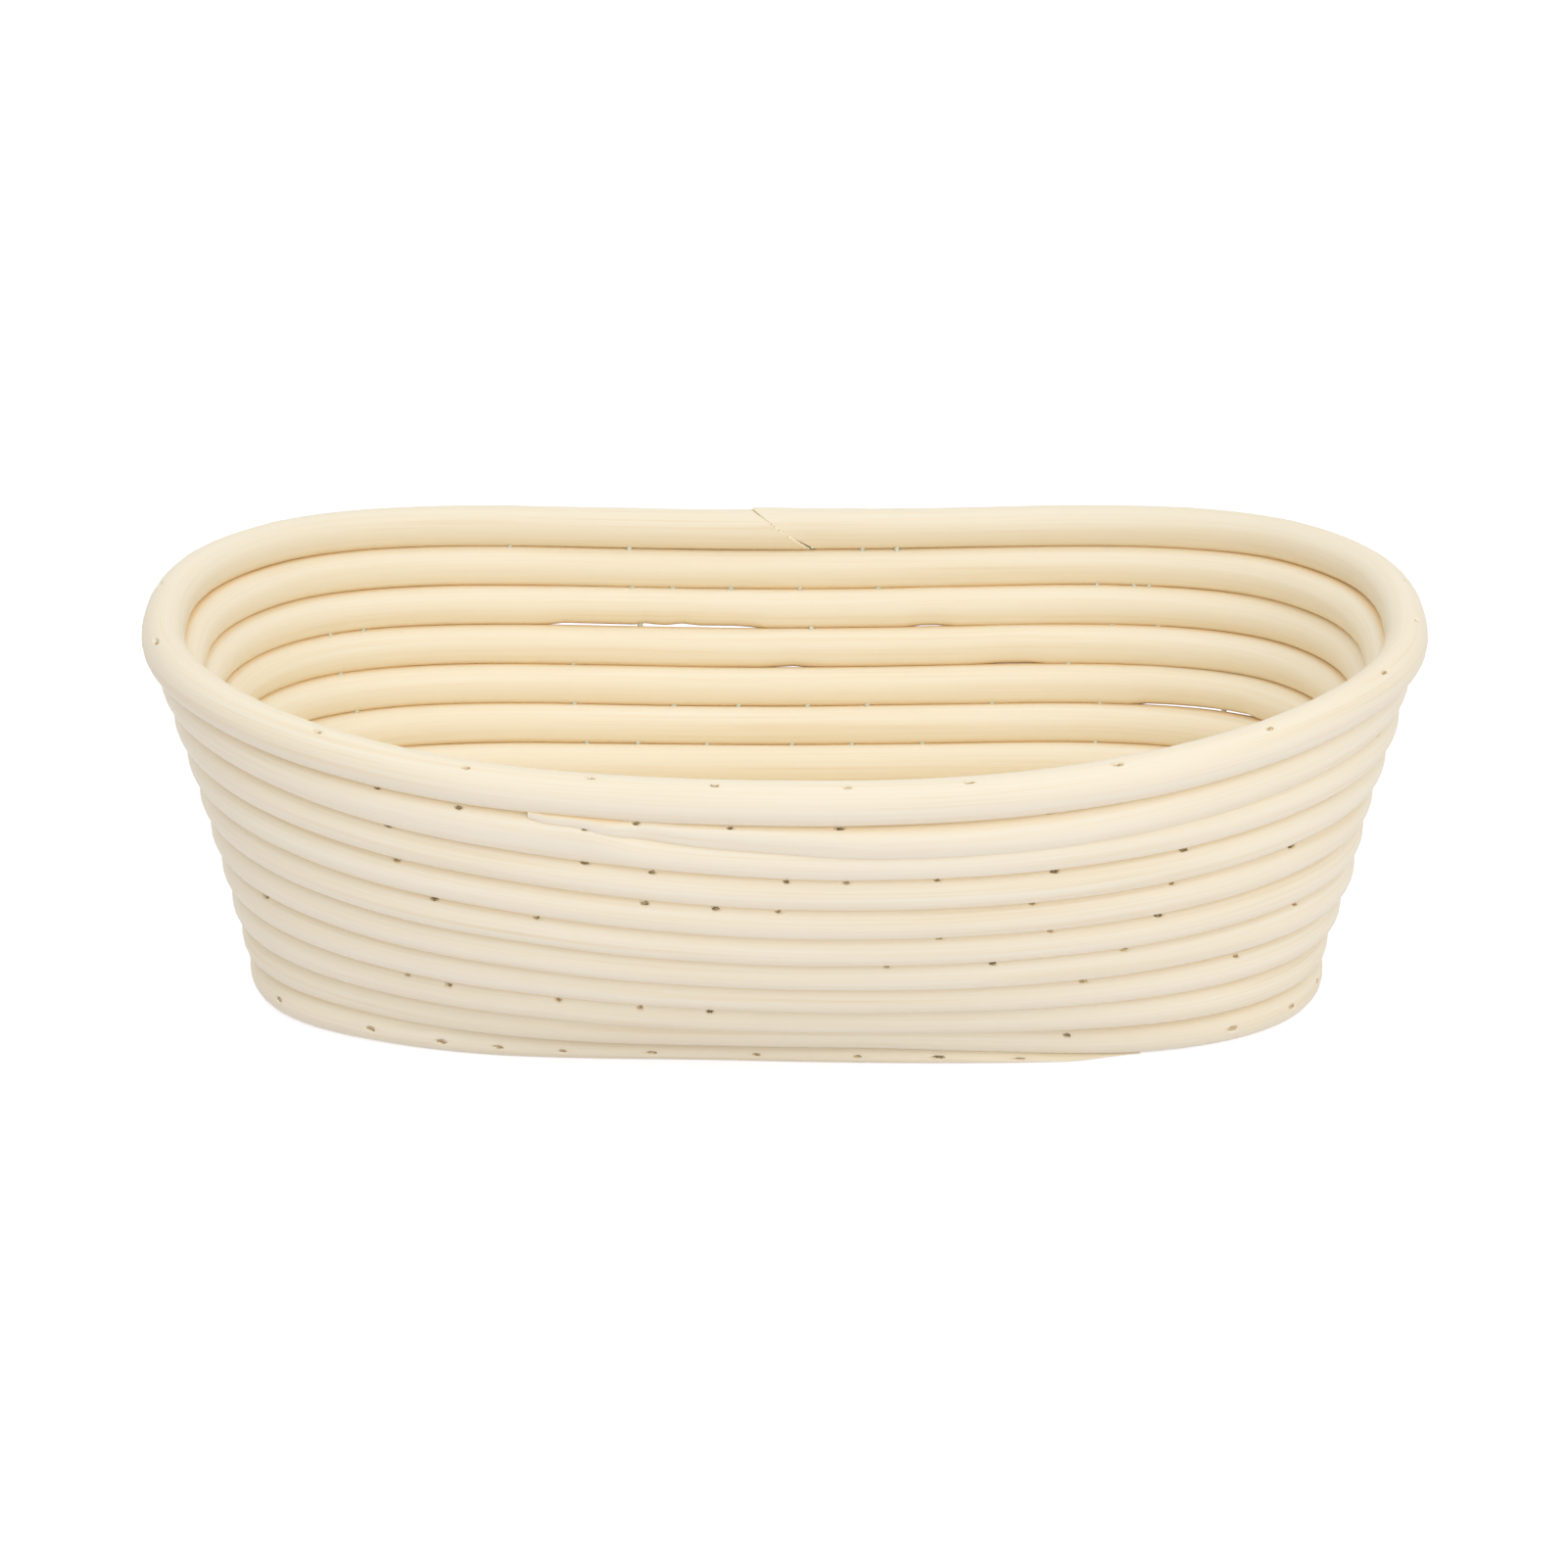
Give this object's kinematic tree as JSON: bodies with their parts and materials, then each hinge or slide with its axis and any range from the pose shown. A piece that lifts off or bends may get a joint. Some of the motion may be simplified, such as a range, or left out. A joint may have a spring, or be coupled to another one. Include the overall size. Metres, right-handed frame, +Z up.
{
  "type": "proofing basket",
  "caption": "Oval dough-proofing basket of coiled round cane: a flat coiled base, a leaning ribbed wall and a thicker rim ring, pinned turn to turn with small brads.",
  "frame": {"origin": "on the ground under the middle of the base", "axes": "+X along the length, +Y towards the back where the rim is joined, +Z up"},
  "size_m": [0.2504, 0.1624, 0.0788],
  "materials": {
    "cane": "bare peeled cane, matt to satin",
    "rim_cane": "bare peeled cane, matt to satin",
    "brad_steel": "drawn wire, dull"
  },
  "bodies": {
    "root": {"base_coil": "cane", "wall_coil": "cane", "rim_ring": "rim_cane", "base_brads": "brad_steel", "foot_brads": "brad_steel", "turn_brads_1": "brad_steel", "turn_brads_2": "brad_steel", "turn_brads_3": "brad_steel", "turn_brads_4": "brad_steel", "turn_brads_5": "brad_steel", "turn_brads_6": "brad_steel", "turn_brads_7": "brad_steel", "turn_brads_8": "brad_steel", "turn_brads_top": "brad_steel", "rim_brads": "brad_steel"}
  },
  "joints": []
}
